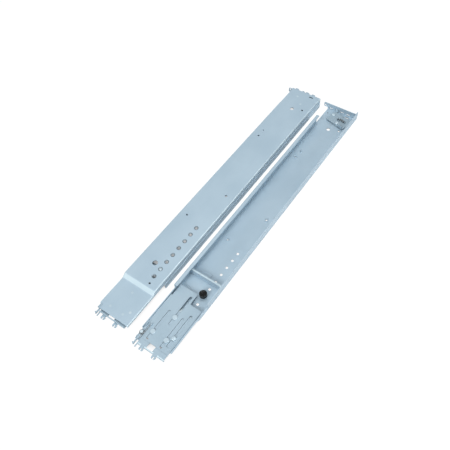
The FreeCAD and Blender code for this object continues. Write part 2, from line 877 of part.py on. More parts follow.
def make_thumbscrew():
    spigot = "HoleRadius - FitPlay"
    bush_profile = [
        ("StudBore", "SinkDepth"),
        (spigot, "SinkDepth"),
        (spigot, "SheetThick"),
        ("BushRadius", "SheetThick"),
        ("BushRadius", "BushTop - HeadEdge"),
        ("BushRadius - HeadEdge", "BushTop"),
        ("StudBore", "BushTop"),
    ]
    keep_node(headed_pin(RIGHT + "thumbscrew_bush", "ThumbX", "0", bush_profile))
    stud_top = "KnobBase + StudGrip"
    stud_profile = [
        ("0", "StudTip"),
        ("StudRadius - HeadEdge", "StudTip"),
        ("StudRadius", "StudTip + HeadEdge"),
        ("StudRadius", stud_top),
        ("0", stud_top),
    ]
    keep_node(headed_pin(RIGHT + "thumbscrew_stud", "ThumbX", "0", stud_profile))
    grip = "StudRadius + FitPlay"
    top = "KnobBase + KnobHeight"
    knob_profile = [
        (grip, "KnobBase"),
        ("KnobRadius - KnobEdge", "KnobBase"),
        ("KnobRadius", "KnobBase + KnobEdge"),
        ("KnobRadius", f"{top} - KnobEdge"),
        ("KnobRadius - KnobEdge", top),
        ("DishRadius + DishDepth", top),
        ("DishRadius", f"{top} - DishDepth"),
        ("0", f"{top} - DishDepth"),
        ("0", stud_top),
        (grip, stud_top),
    ]
    knob = headed_pin(RIGHT + "thumbscrew_knob", "ThumbX", "0", knob_profile)
    flute = flat_sketch(knob, "KnobBase + KnobHeight / 2")
    circle(flute, "KnobRadius", "0", "FluteRadius")
    cut = cut_through(knob, flute, "2 * KnobHeight")
    flutes = knob.newObject("PartDesign::PolarPattern", "Flutes")
    flutes.Originals = [cut]
    flutes.Axis = (origin_part(knob, "Z_Axis"), [""])
    knob.Tip = flutes
    flutes.Angle = 360
    flutes.setExpression("Occurrences", formula("FluteCount"))
    document.recompute()
    keep_node(knob)


def make_near_latch():
    lever = new_body(RIGHT + "near_latch_lever")
    place(lever)
    barb_top = "ArmHigh + Barb"
    wide_end = "NearPivotX - BossRadius"
    plan = [
        ("NoseX", "ArmLow"),
        ("ArmWideStart", "ArmLow"),
        ("ArmWideStart", "LugLow"),
        (wide_end, "LugLow"),
        ("NearPivotX", "TailLow"),
        ("TailEnd", "TailLow"),
        ("TailEnd", "TailHigh"),
        (wide_end, "TailHigh"),
        (wide_end, "ArmWideHigh"),
        ("ArmWideStart", "ArmWideHigh"),
        ("ArmWideStart", "ArmHigh"),
        ("BarbBack", "ArmHigh"),
        ("BarbBack", barb_top),
        ("BarbBack - NoseTip", barb_top),
        ("NoseX", "ArmLow + NoseTip"),
    ]
    pad(lever, outline(flat_sketch(lever, "LatchBase"), plan))
    boss = flat_sketch(lever, "LatchBase")
    pad(lever, circle(boss, "NearPivotX", "NearPivotY", "BossRadius"))
    finger = flat_sketch(lever, "LatchBase")
    low = ("FingerStart", "TailHigh - SheetThick")
    pad(lever, rectangle(finger, low, ("TailEnd", "TailHigh")), "SheetThick + FingerRise")
    lug = flat_sketch(lever, "LatchBase")
    high = ("ArmWideStart + LugLength", "LugLow + LugThick")
    pad(lever, rectangle(lug, ("ArmWideStart", "LugLow"), high), "CoilTop + WireRadius - LatchBase")
    pivot = flat_sketch(lever, "LatchBase")
    cut_through(lever, circle(pivot, "NearPivotX", "NearPivotY", "PivotRadius + PivotPlay"))
    keep_node(lever, rides=True)
    profile = [
        ("0", "PlateBase"),
        ("PivotRadius", "PlateBase"),
        ("PivotRadius", "PivotTop"),
        ("PivotHeadRadius", "PivotTop"),
        ("PivotHeadRadius", "PivotTop + PivotHeadThick"),
        ("0", "PivotTop + PivotHeadThick"),
    ]
    pin = headed_pin(RIGHT + "near_latch_pivot", "NearPivotX", "NearPivotY", profile)
    keep_node(pin, rides=True)
    spring = new_body(RIGHT + "near_latch_spring")
    place(spring, "NearPivotX", "NearPivotY")
    ring(spring, "0", "CoilBase", "CoilRadius", "WireRadius", "CoilTop - CoilBase")
    for start, height, reach in (
        ("0 - LegShort", "CoilTop", "LegShort"),
        ("0", "CoilBase", "LegReach"),
    ):
        leg = end_sketch(spring, start)
        pad(spring, circle(leg, "0 - CoilRadius", height, "WireRadius - FitPlay"), reach)
    keep_node(spring, rides=True)


def make_far_latch():
    lever = new_body(RIGHT + "far_latch_lever")
    place(lever, "FarPivotX", "FarPivotY", "0 - FarRest")
    plate = flat_sketch(lever, "FarBase")
    pad(lever, rectangle(plate, ("0 - LeverBack", "0 - LeverEnd"), ("LeverFront", "LeverTop")))
    round_edges(lever, "LeverCorner", upright)
    hook_face = "RailLength + PostThick - FarPivotX"
    nose = [
        ("0", "NoseLow"),
        (hook_face, "NoseLow"),
        (hook_face, "NoseLow - NoseHook"),
        (f"{hook_face} + NoseHook", "NoseLow - NoseHook"),
        ("NoseReach", "NoseLow + NoseHook"),
        ("NoseReach", "NoseHigh"),
        ("0", "NoseHigh"),
    ]
    turned_nose = [turned(along, across, "FarRest") for along, across in nose]
    pad(lever, outline(flat_sketch(lever, "FarBase"), turned_nose))
    tab = flat_sketch(lever, "FarTop")
    high = ("SheetThick - LeverBack", "LeverCorner + TabWidth - LeverEnd")
    rectangle(tab, ("0 - LeverBack", "LeverCorner - LeverEnd"), high)
    pad(lever, tab, "TabRise")
    post = flat_sketch(lever, "FarTop")
    pad(lever, circle(post, "LeverPostAlong", "LeverPostAcross", "PostRadius"), "PostTop - FarTop")
    openings = flat_sketch(lever, "FarBase")
    circle(openings, "0", "0", "PivotRadius + PivotPlay")
    web_post_place = turned("WebPostX - FarPivotX", "WebPostY - FarPivotY", "FarRest")
    circle(openings, *web_post_place, "PostOpening")
    start = turned("GuideReach", "0", "(FarRest - GuideAngle)")
    end = turned("GuideReach", "0", "(FarRest - GuideAngle - FarTravel)")
    slot(openings, start, end, "PivotRadius + ArcPlay")
    cut_through(lever, openings)
    keep_node(lever)
    collar_top = "FarBase - SlideGap"
    profile = [
        ("0", "0"),
        ("PivotRadius", "0"),
        ("PivotRadius", "SheetThick"),
        ("CollarRadius", "SheetThick"),
        ("CollarRadius", collar_top),
        ("PivotRadius", collar_top),
        ("PivotRadius", "FarHeadBase"),
        ("CollarRadius", "FarHeadBase"),
        ("CollarRadius", "FarHeadBase + HeadThick - HeadEdge"),
        ("CollarRadius - HeadEdge", "FarHeadBase + HeadThick"),
        ("0", "FarHeadBase + HeadThick"),
    ]
    keep_node(headed_pin(RIGHT + "far_latch_pivot", "FarPivotX", "FarPivotY", profile))
    keep_node(headed_pin(RIGHT + "far_latch_guide", "GuideX", "GuideY", profile))
    spring = new_body(RIGHT + "far_latch_spring")
    place(spring, "WebPostX", "WebPostY", "atan2(SpringRunY; SpringRunX)")
    sleeve = end_sketch(spring, "RingRadius")
    circle(sleeve, "0", "SpringAxis", "CoilSpringRadius + CoilSpringWire")
    pad(spring, sleeve, "SpringSpan - 2 * RingRadius")
    for along in ("0", "SpringSpan"):
        ring(spring, along, "SpringAxis", "RingRadius", "CoilSpringWire")
    keep_node(spring)


def mirrored(node, label):
    # Turned over about the rail's mid-height.
    twin = document.addObject("Part::Mirroring", label)
    twin.Label = label
    twin.Source = node
    twin.Normal = FreeCAD.Vector(0, 0, 1)
    twin.setExpression("Base.z", formula("TallFlange / 2"))
    return twin


def with_access_hole(web, label):
    # Only the overturned rail has the wide hole behind its hole row.
    drill = document.addObject("Part::Cylinder", "AccessDrill")
    drill.setExpression("Radius", formula("AccessRadius"))
    drill.setExpression("Height", formula("2 * SheetThick"))
    drill.setExpression("Placement.Base.z", formula("TallFlange - 1.5 * SheetThick"))
    place(drill, "AccessX", "AccessY")
    pierced = document.addObject("Part::Cut", label)
    pierced.Label = label
    pierced.Base = web
    pierced.Tool = drill
    return pierced


def mirror_rail():
    # The second rail lies upside down beside the first.
    for node in list(nodes):
        label = node.Label.replace(RIGHT, LEFT)
        if label == LEFT + "channel":
            twin = with_access_hole(mirrored(node, "plain_channel"), label)
        else:
            twin = mirrored(node, label)
        shift = "PairShift + BracketDifference" if node in riding_nodes else "PairShift"
        twin.setExpression("Placement.Base.x", formula(shift))
        twin.setExpression("Placement.Base.y", formula("PairSpacing"))
        nodes.append(twin)
    document.recompute()


def check_and_export():
    for thing in document.Objects:
        if "Invalid" in thing.State or "Error" in thing.State:
            raise ValueError(f"{thing.Label}: {thing.State}")
    os.makedirs("parts", exist_ok=True)
    for node in nodes:
        if node.Shape.isNull() or not node.Shape.isValid():
            raise ValueError(f"{node.Label}: shape is not valid")
        node.Shape.exportStep(f"parts/{node.Label}.step")
        box = node.Shape.BoundBox
        print(node.Label, len(node.Shape.Solids), round(node.Shape.Volume, 1), box)


fill_sheet()
make_channel()
make_slide_rivets()
make_stop_screw()
make_cross_brace()
make_thumbscrew()
make_bracket()
make_near_latch()
make_far_latch()
mirror_rail()
check_and_export()
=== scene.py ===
import json
import math

import bpy
from mathutils import Matrix, Vector

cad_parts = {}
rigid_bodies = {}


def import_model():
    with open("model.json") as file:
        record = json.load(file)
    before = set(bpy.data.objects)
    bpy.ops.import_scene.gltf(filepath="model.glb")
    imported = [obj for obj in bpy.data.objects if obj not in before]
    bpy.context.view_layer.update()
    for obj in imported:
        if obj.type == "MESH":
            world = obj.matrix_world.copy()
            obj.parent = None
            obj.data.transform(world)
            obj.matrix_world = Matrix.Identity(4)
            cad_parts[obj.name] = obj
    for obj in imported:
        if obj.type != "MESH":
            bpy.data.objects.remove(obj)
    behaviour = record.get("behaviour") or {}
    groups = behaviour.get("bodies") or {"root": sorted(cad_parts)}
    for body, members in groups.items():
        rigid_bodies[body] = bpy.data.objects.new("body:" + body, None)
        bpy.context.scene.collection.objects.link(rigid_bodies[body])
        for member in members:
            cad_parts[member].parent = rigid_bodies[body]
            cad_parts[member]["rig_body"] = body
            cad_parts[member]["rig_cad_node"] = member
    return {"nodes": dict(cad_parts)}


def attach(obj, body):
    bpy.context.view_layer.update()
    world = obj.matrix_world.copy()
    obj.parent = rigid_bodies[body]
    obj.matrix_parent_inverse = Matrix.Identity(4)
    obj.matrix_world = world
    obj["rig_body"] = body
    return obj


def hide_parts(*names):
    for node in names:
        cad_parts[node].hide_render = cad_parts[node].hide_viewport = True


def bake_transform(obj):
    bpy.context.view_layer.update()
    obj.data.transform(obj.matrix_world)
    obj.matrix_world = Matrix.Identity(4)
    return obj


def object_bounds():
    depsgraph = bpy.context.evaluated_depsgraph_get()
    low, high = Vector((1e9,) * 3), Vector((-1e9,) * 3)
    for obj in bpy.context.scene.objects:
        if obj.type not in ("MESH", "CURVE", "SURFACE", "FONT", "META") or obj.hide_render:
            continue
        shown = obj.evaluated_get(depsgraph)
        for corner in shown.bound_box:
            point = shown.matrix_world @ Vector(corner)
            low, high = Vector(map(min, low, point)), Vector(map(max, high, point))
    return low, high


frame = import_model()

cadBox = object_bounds()
print("stage: frame loaded")

# where the rails lie: the upturned rail is drawn as it is, the other one turned over beside it
layout = {
    "rowCentre": 0.190725,
    "railHeight": 0.0248,
    "pairShift": -0.0067,
    "pairSpacing": 0.0955,
    "bracketShift": 0.0128,
}

sides = ("right", "left")


def selectNothing():
    if bpy.context.mode != "OBJECT":
        bpy.ops.object.mode_set(mode="OBJECT")
    bpy.ops.object.select_all(action="DESELECT")


def selectOnly(piece):
    selectNothing()
    piece.select_set(True)
    bpy.context.view_layer.objects.active = piece


def applyPlace(piece):
    selectOnly(piece)
    bpy.ops.object.transform_apply(location=True, rotation=True, scale=True)


def applyModifiers(piece):
    selectOnly(piece)
    for modifier in list(piece.modifiers):
        bpy.ops.object.modifier_apply(modifier=modifier.name)


def joinPieces(pieces, name):
    selectNothing()
    for piece in pieces:
        piece.select_set(True)
    bpy.context.view_layer.objects.active = pieces[0]
    bpy.ops.object.join()
    joined = bpy.context.view_layer.objects.active
    joined.name = name
    joined.data.name = name
    return joined


def recalcNormals(piece):
    selectOnly(piece)
    bpy.ops.object.mode_set(mode="EDIT")
    bpy.ops.mesh.select_all(action="SELECT")
    bpy.ops.mesh.normals_make_consistent(inside=False)
    bpy.ops.object.mode_set(mode="OBJECT")


def smoothByAngle(piece, degrees):
    selectOnly(piece)
    bpy.ops.object.shade_smooth_by_angle(angle=math.radians(degrees))


def selectInEdit(piece, mode, test):
    # leaves edit mode open with only the chosen vertices, edges or faces selected
    selectOnly(piece)
    bpy.ops.object.mode_set(mode="EDIT")
    bpy.ops.mesh.select_mode(type="VERT")
    bpy.ops.mesh.select_all(action="DESELECT")
    bpy.ops.mesh.select_mode(type=mode)
    bpy.ops.object.mode_set(mode="OBJECT")
    mesh = piece.data
    chosen = {"VERT": mesh.vertices, "EDGE": mesh.edges, "FACE": mesh.polygons}[mode]
    count = 0
    for item in chosen:
        item.select = test(item)
        count += item.select
    if not count:
        raise RuntimeError(f"nothing selected on {piece.name}")
    bpy.ops.object.mode_set(mode="EDIT")


def movePiece(piece, x, y, z):
    piece.location = (x, y, z)
    applyPlace(piece)


def railPlace(x, y, z):
    # millimetres along the rail, across from the hole row and up, to the row's metres
    return Vector((x / 1000 - layout["rowCentre"], y / 1000, z / 1000))


def leftShift(rides):
    # how far along the mirrored rail's pieces lie: those that ride its bracket are further in
    return layout["pairShift"] + (layout["bracketShift"] if rides else 0.0)


def turnOver(piece, rides):
    # the mirrored rail's place: upside down about mid height, beside the first
    piece.scale = (1, 1, -1)
    piece.location = (leftShift(rides), layout["pairSpacing"], layout["railHeight"])
    applyPlace(piece)
    recalcNormals(piece)


def turnPoint(point, rides):
    # the same point on the mirrored rail
    return Vector((point.x + leftShift(rides), point.y + layout["pairSpacing"],
                   layout["railHeight"] - point.z))


def railSpot(point, side, rides):
    # a point of the row's frame in rail millimetres: along, across and height
    along = point.x * 1000 + layout["rowCentre"] * 1000
    if side == "right":
        return along, point.y * 1000, point.z * 1000
    return (along - leftShift(rides) * 1000, (point.y - layout["pairSpacing"]) * 1000,
            (layout["railHeight"] - point.z) * 1000)


# ---- finishes

finishes = {
    "zincSheet": {"colour": (0.375, 0.492, 0.578), "pale": (0.425, 0.542, 0.625),
                  "dark": (0.305, 0.41, 0.485), "metallic": 0.14, "roughness": 0.37,
                  "specular": 0.5, "bump": 0.006, "grain": 0.35, "speck": 0.4},
    "brightZinc": {"colour": (0.47, 0.58, 0.64), "pale": (0.58, 0.68, 0.73),
                   "dark": (0.36, 0.45, 0.50), "metallic": 0.55, "roughness": 0.30,
                   "specular": 0.5, "bump": 0.01, "grain": 1.0, "speck": 0.4},
    "plateZinc": {"colour": (0.335, 0.445, 0.52), "pale": (0.38, 0.49, 0.565),
                  "dark": (0.27, 0.37, 0.435), "metallic": 0.14, "roughness": 0.37,
                  "specular": 0.5, "bump": 0.006, "grain": 0.35, "speck": 0.4},
    # painted shade: the far latch lever is coloured darker than the sheet, standing in for the
    # shade around it
    "latchZinc": {"colour": (0.30, 0.40, 0.465), "pale": (0.35, 0.45, 0.52),
                  "dark": (0.21, 0.285, 0.335), "metallic": 0.2, "roughness": 0.37,
                  "specular": 0.5, "bump": 0.006, "grain": 0.35, "speck": 0.4},
    # painted highlight: a paler zinc for the ramp, the outer bends and the brace top
    "paintedHighlightZinc": {"colour": (0.49, 0.61, 0.67), "pale": (0.55, 0.67, 0.72),
                 "dark": (0.42, 0.53, 0.59), "metallic": 0.14, "roughness": 0.33,
                 "specular": 0.5, "bump": 0.006, "grain": 0.35, "speck": 0.4},
    "headZinc": {"colour": (0.43, 0.54, 0.61), "pale": (0.49, 0.60, 0.66),
                 "dark": (0.36, 0.45, 0.50), "metallic": 0.25, "roughness": 0.33,
                 "specular": 0.5, "bump": 0.01, "grain": 1.0, "speck": 0.4},
    # painted shade: a dark colour inside the countersinks
    "paintedShadeSink": {"colour": (0.15, 0.19, 0.22), "pale": (0.20, 0.25, 0.28),
                 "dark": (0.10, 0.13, 0.15), "metallic": 0.5, "roughness": 0.34,
                 "specular": 0.5, "bump": 0.01, "grain": 0.4, "speck": 1.0},
    # painted shade: a near-black colour on the walls of holes, slots and cut edges
    "paintedShadeEdge": {"colour": (0.075, 0.095, 0.11), "pale": (0.12, 0.15, 0.165),
                "dark": (0.05, 0.06, 0.07), "metallic": 0.3, "roughness": 0.48,
                "specular": 0.4, "bump": 0.02, "grain": 0.4, "speck": 1.0},
    "springWire": {"colour": (0.13, 0.145, 0.155), "pale": (0.22, 0.24, 0.25),
                   "dark": (0.07, 0.08, 0.085), "metallic": 0.85, "roughness": 0.28,
                   "specular": 0.5, "bump": 0.01, "grain": 0.5, "speck": 1.0},
    "blackGrip": {"colour": (0.004, 0.0043, 0.0048), "pale": (0.008, 0.009, 0.010),
                  "dark": (0.002, 0.002, 0.0025), "metallic": 0.0, "roughness": 0.24,
                  "specular": 0.2, "bump": 0.1, "grain": 0.0, "speck": 1.0},
}

# clouding, rolling grain along the rail and fine specks, shared by every finish
surfacePattern = {
    "cloud": {"scale": 9.0, "detail": 3.0, "stretch": (1.0, 1.6, 1.6), "range": (0.35, 0.65)},
    "grain": {"scale": 60.0, "detail": 2.0, "stretch": (1.0, 7.0, 7.0), "range": (0.3, 0.7)},
    "speck": {"scale": 620.0, "detail": 2.0, "stretch": (1.0, 1.0, 1.0), "range": (0.66, 0.74)},
    "grainTone": 0.35, "speckTone": 0.5,
    "cloudRoughness": 0.06, "grainRoughness": 0.05,
    "grainHeight": 0.6, "speckHeight": 0.4, "relief": 0.0002,
}


def makeSheetGroup():
    values = surfacePattern
    group = bpy.data.node_groups.new("sheetSurface", "ShaderNodeTree")
    sockets = [("Grain", "INPUT", "Float"), ("Speck", "INPUT", "Float"),
               ("Base Roughness", "INPUT", "Float"), ("Colour", "INPUT", "Color"),
               ("Pale", "INPUT", "Color"), ("Dark", "INPUT", "Color"),
               ("Colour", "OUTPUT", "Color"), ("Roughness", "OUTPUT", "Float"),
               ("Height", "OUTPUT", "Float")]
    for name, way, kind in sockets:
        group.interface.new_socket(name=name, in_out=way, socket_type="NodeSocket" + kind)
    nodes, links = group.nodes, group.links
    inside = nodes.new("NodeGroupInput")
    outside = nodes.new("NodeGroupOutput")
    place = nodes.new("ShaderNodeTexCoord")

    def pattern(name):
        mapping = nodes.new("ShaderNodeMapping")
        mapping.inputs["Scale"].default_value = values[name]["stretch"]
        links.new(place.outputs["Object"], mapping.inputs["Vector"])
        texture = nodes.new("ShaderNodeTexNoise")
        texture.inputs["Scale"].default_value = values[name]["scale"]
        texture.inputs["Detail"].default_value = values[name]["detail"]
        links.new(mapping.outputs["Vector"], texture.inputs["Vector"])
        shaped = nodes.new("ShaderNodeMapRange")
        shaped.inputs["From Min"].default_value = values[name]["range"][0]
        shaped.inputs["From Max"].default_value = values[name]["range"][1]
        links.new(texture.outputs["Fac"], shaped.inputs["Value"])
        return shaped.outputs["Result"]

    def calculate(kind, first, second):
        node = nodes.new("ShaderNodeMath")
        node.operation = kind
        for number, value in enumerate((first, second)):
            if isinstance(value, float):
                node.inputs[number].default_value = value
            else:
                links.new(value, node.inputs[number])
        return node.outputs[0]

    def mix(factor, first, second):
        node = nodes.new("ShaderNodeMix")
        node.data_type = "RGBA"
        links.new(factor, node.inputs["Factor"])
        links.new(first, node.inputs["A"])
        links.new(second, node.inputs["B"])
        return node.outputs["Result"]

    cloud, grain, speck = pattern("cloud"), pattern("grain"), pattern("speck")
    grainShare = calculate("MULTIPLY", inside.outputs["Grain"], values["grainTone"])
    speckShare = calculate("MULTIPLY", inside.outputs["Speck"], values["speckTone"])
    tone = mix(cloud, inside.outputs["Colour"], inside.outputs["Pale"])
    tone = mix(calculate("MULTIPLY", grain, grainShare), tone, inside.outputs["Pale"])
    tone = mix(calculate("MULTIPLY", speck, speckShare), tone, inside.outputs["Dark"])
    links.new(tone, outside.inputs["Colour"])
    rough = calculate("ADD", inside.outputs["Base Roughness"],
                      calculate("MULTIPLY", cloud, values["cloudRoughness"]))
    rough = calculate("ADD", rough, calculate("MULTIPLY", grain, values["grainRoughness"]))
    links.new(rough, outside.inputs["Roughness"])
    height = calculate("ADD", calculate("MULTIPLY", grain, values["grainHeight"]),
                       calculate("MULTIPLY", speck, values["speckHeight"]))
    links.new(height, outside.inputs["Height"])
    return group


def makeFinish(name, group):
    values = finishes[name]
    material = bpy.data.materials.new(name)
    material.use_nodes = True
    nodes, links = material.node_tree.nodes, material.node_tree.links
    shader = nodes["Principled BSDF"]
    shader.inputs["Metallic"].default_value = values["metallic"]
    shader.inputs["Specular IOR Level"].default_value = values["specular"]
    surface = nodes.new("ShaderNodeGroup")
    surface.node_tree = group
    surface.inputs["Grain"].default_value = values["grain"]
    surface.inputs["Speck"].default_value = values["speck"]
    surface.inputs["Base Roughness"].default_value = values["roughness"]
    for socket, key in (("Colour", "colour"), ("Pale", "pale"), ("Dark", "dark")):
        surface.inputs[socket].default_value = (*values[key], 1.0)
    relief = nodes.new("ShaderNodeBump")
    relief.inputs["Strength"].default_value = values["bump"]
    relief.inputs["Distance"].default_value = surfacePattern["relief"]
    links.new(surface.outputs["Colour"], shader.inputs["Base Color"])
    links.new(surface.outputs["Roughness"], shader.inputs["Roughness"])
    links.new(surface.outputs["Height"], relief.inputs["Height"])
    links.new(relief.outputs["Normal"], shader.inputs["Normal"])
    return material


sheetGroup = makeSheetGroup()
finish = {name: makeFinish(name, sheetGroup) for name in finishes}

nodeFinish = {
    "channel": "zincSheet",
    "cross_brace": "zincSheet",
    "slide_bracket": "plateZinc",
    "near_latch_lever": "plateZinc",
    # the far latch lever takes the darker colour that stands in for painted shade
    "far_latch_lever": "latchZinc",
    "slide_rivets": "headZinc",
    "stop_screw": "brightZinc",
    "stop_washer": "brightZinc",
    "thumbscrew_bush": "brightZinc",
    "thumbscrew_stud": "brightZinc",
    "near_latch_pivot": "brightZinc",
    "far_latch_pivot": "brightZinc",
    "far_latch_guide": "brightZinc",
    "near_latch_spring": "springWire",
    "far_latch_spring": "springWire",
    "thumbscrew_knob": "blackGrip",
}


def dress(piece, node):
    piece.data.materials.clear()
    piece.data.materials.append(finish[nodeFinish[node]])


for name, node in frame["nodes"].items():
    dress(node, name.split("_", 1)[1])
print("stage: finishes")

# ---- sheet pieces: the node's own shape with broken edges and soft bend lines at the step

sheetShape = {
    "bodies": {"channel": "rails", "cross_brace": "rails", "slide_bracket": "{}_bracket",
               "near_latch_lever": "{}_near_latch", "far_latch_lever": "{}_far_latch"},
    "weld": 0.00001, "flat": 1.0, "edge": 0.00022, "edgeSegments": 2, "edgeAngle": 38.0,
    "stepLines": ((72.0, 7.3), (81.5, 0.0)), "stepWidth": 0.0018, "stepSegments": 5,
    "onLine": 0.00002, "stepLeast": 0.001, "smooth": 50.0,
}

# the cut walls and countersinks that take the painted shade, in rail millimetres; a tilt is a
# normal's upright share
paintedShadeShape = {
    # along, across and height
    "within": {"channel": ((3, 700), (-20, 50.5), (-0.1, 10.6)),
               "slide_bracket": ((-4.5, 117), (-18, 50), (8.8, 10.6)),
               "near_latch_lever": ((-30, 40), (30, 60), (10.5, 12.3)),
               "far_latch_lever": ((630, 698), (-22, 60), (4.7, 6.4))},
    "wallTilt": 0.35, "wallTall": 1.65,
    "sinkTilt": 0.97, "sinkDepth": 1.3, "sinkRadius": 5.0,
    "holeStart": 105.0, "holePitch": 19.05, "holeCount": 8,
    # the side walls of the windows in the end flange
    "windowTurn": 0.7, "windowAlong": (703.4, 705.1), "windowAcross": (-20.0, 50.0),
    "windowLow": 0.5,
}

# the ramp, bends and brace top, which take a paler colour as a painted highlight
paintedHighlightShape = {
    "rampAlong": (71.5, 82.0), "rampTilt": (0.6, 0.87), "rampHeight": (0.05, 8.7),
    "webAcross": (-20.6, 51.6), "webEnd": 704.0, "webHeight": 9.2, "bendTilt": (0.3, 0.97),
    "braceTop": 9.0, "braceTilt": 0.4,
    "bracketEnd": -14.5, "bracketTurn": 0.2,
}


def between(value, limits):
    return limits[0] < value < limits[1]


def softenStep(piece, side):
    # rounds the two bend lines of the web's step on its smooth face
    near = sheetShape["onLine"]
    places = [railPlace(x, 0, z) for x, z in sheetShape["stepLines"]]
    if side == "left":
        places = [turnPoint(place, rides=False) for place in places]
    mesh = piece.data

    def onStep(edge):
        ends = [mesh.vertices[number].co for number in edge.vertices]
        onPlace = any(all(abs(end.x - place.x) < near and abs(end.z - place.z) < near
                          for end in ends) for place in places)
        return onPlace and abs(ends[0].y - ends[1].y) > sheetShape["stepLeast"]

    selectInEdit(piece, "EDGE", onStep)
    bpy.ops.mesh.bevel(offset=sheetShape["stepWidth"], offset_type="OFFSET",
                       segments=sheetShape["stepSegments"], affect="EDGES", clamp_overlap=True)
    bpy.ops.object.mode_set(mode="OBJECT")


def inCountersink(centre, tilt):
    values = paintedShadeShape
    if not values["wallTilt"] <= tilt < values["sinkTilt"] or centre[2] >= values["sinkDepth"]:
        return False
    step = round((centre[0] - values["holeStart"]) / values["holePitch"])
    step = min(max(step, 0), values["holeCount"] - 1)
    away = centre[0] - values["holeStart"] - step * values["holePitch"]
    return math.hypot(away, centre[1]) < values["sinkRadius"]


def markCuts(piece, side, node):
    # painted shade: the walls of holes and slots are painted darker than the plated faces, and so
    # are the countersinks
    values = paintedShadeShape
    if node not in values["within"]:
        return
    rides = node in ("slide_bracket", "near_latch_lever")
    piece.data.materials.append(finish["paintedShadeEdge"])
    piece.data.materials.append(finish["paintedShadeSink"])
    mesh = piece.data
    counts = [0, 0]
    for face in mesh.polygons:
        centre = railSpot(face.center, side, rides)
        tilt = abs(face.normal.z)
        heights = [mesh.vertices[number].co.z for number in face.vertices]
        tall = (max(heights) - min(heights)) * 1000
        inWall = (tilt < values["wallTilt"] and tall < values["wallTall"]
                  and all(map(between, centre, values["within"][node])))
        inWindow = (node == "channel" and abs(face.normal.y) > values["windowTurn"]
                    and between(centre[0], values["windowAlong"])
                    and between(centre[1], values["windowAcross"])
                    and centre[2] > values["windowLow"])
        if inWall or inWindow:
            face.material_index = 1
            counts[0] += 1
        elif node == "channel" and inCountersink(centre, tilt):
            face.material_index = 2
            counts[1] += 1
    print("cuts:", piece.name, counts)


def isBurnished(face, spot, node):
    values = paintedHighlightShape
    along, across, height = spot
    tilt = abs(face.normal.z)
    bent = between(tilt, values["bendTilt"])
    if node == "cross_brace":
        return tilt > values["braceTilt"] and height > values["braceTop"]
    if node == "slide_bracket":
        return bent and abs(face.normal.x) > values["bracketTurn"] and along < values["bracketEnd"]
    onRamp = (between(along, values["rampAlong"]) and between(tilt, values["rampTilt"])
              and between(height, values["rampHeight"]))
    low, high = values["webAcross"]
    onBend = (bent and height < values["webHeight"] and along < values["webEnd"]
              and not low <= across <= high)
    return onRamp or onBend


def markBends(piece, side, node):
    # painted highlight: the ramp and outer bends of the channel, the brace's top edge and the
    # bracket's end bend take a paler colour
    if node not in ("channel", "cross_brace", "slide_bracket"):
        return
    piece.data.materials.append(finish["paintedHighlightZinc"])
    number = len(piece.data.materials) - 1
    count = 0
    for face in piece.data.polygons:
        if isBurnished(face, railSpot(face.center, side, node == "slide_bracket"), node):
            face.material_index = number
            count += 1
    print("bends:", piece.name, count)


def softenSheet(side, node, body):
    values = sheetShape
    source = frame["nodes"][f"{side}_{node}"]
    selectOnly(source)
    bpy.ops.object.duplicate()
    piece = bpy.context.view_layer.objects.active
    piece.name = f"{side}_{node}_sheet"
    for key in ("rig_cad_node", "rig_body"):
        if key in piece:
            del piece[key]
    piece.parent = None
    piece.matrix_world = Matrix.Identity(4)
    selectOnly(piece)
    bpy.ops.object.mode_set(mode="EDIT")
    bpy.ops.mesh.select_all(action="SELECT")
    bpy.ops.mesh.customdata_custom_splitnormals_clear()
    bpy.ops.mesh.remove_doubles(threshold=values["weld"])
    bpy.ops.mesh.dissolve_limited(angle_limit=math.radians(values["flat"]))
    bpy.ops.object.mode_set(mode="OBJECT")
    if node == "channel":
        softenStep(piece, side)
    broken = piece.modifiers.new("brokenEdges", "BEVEL")
    broken.width = values["edge"]
    broken.segments = values["edgeSegments"]
    broken.limit_method = "ANGLE"
    broken.angle_limit = math.radians(values["edgeAngle"])
    broken.use_clamp_overlap = True
    applyModifiers(piece)
    smoothByAngle(piece, values["smooth"])
    level = piece.modifiers.new("levelFaces", "WEIGHTED_NORMAL")
    level.keep_sharp = True
    applyModifiers(piece)
    dress(piece, node)
    markCuts(piece, side, node)
    markBends(piece, side, node)
    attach(piece, body.format(side))
    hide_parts(f"{side}_{node}")
    print("sheet:", piece.name, len(piece.data.polygons))


for side in sides:
    for node, body in sheetShape["bodies"].items():
        softenSheet(side, node, body)
print("stage: sheet pieces")

# ---- torsion spring of the near latch: three turns and two straight legs

torsionSpring = {
    "centre": (1.5, 46.5), "radius": 4.1, "wire": 0.5, "turns": 3, "low": 12.8, "high": 14.7,
    "longLeg": 23.0, "shortLeg": 12.5, "wireSides": 10, "stepsPerTurn": 40,
    "endPlay": 1.1, "onPlane": 0.000001, "legBend": (4.7, 15.0),
}

springSmooth = 50.0


def finishSpring(spring, side, node, ends, rides):
    # the spring is turned over for the mirrored rail, named, smoothed and dressed; its ends are
    # turned with it but nothing uses them
    if side == "left":
        turnOver(spring, rides)
        ends = [turnPoint(point, rides) for point in ends]
    spring.name = f"{side}_{node}_coil"
    smoothByAngle(spring, springSmooth)
    dress(spring, node)
    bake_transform(spring)
    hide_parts(f"{side}_{node}")


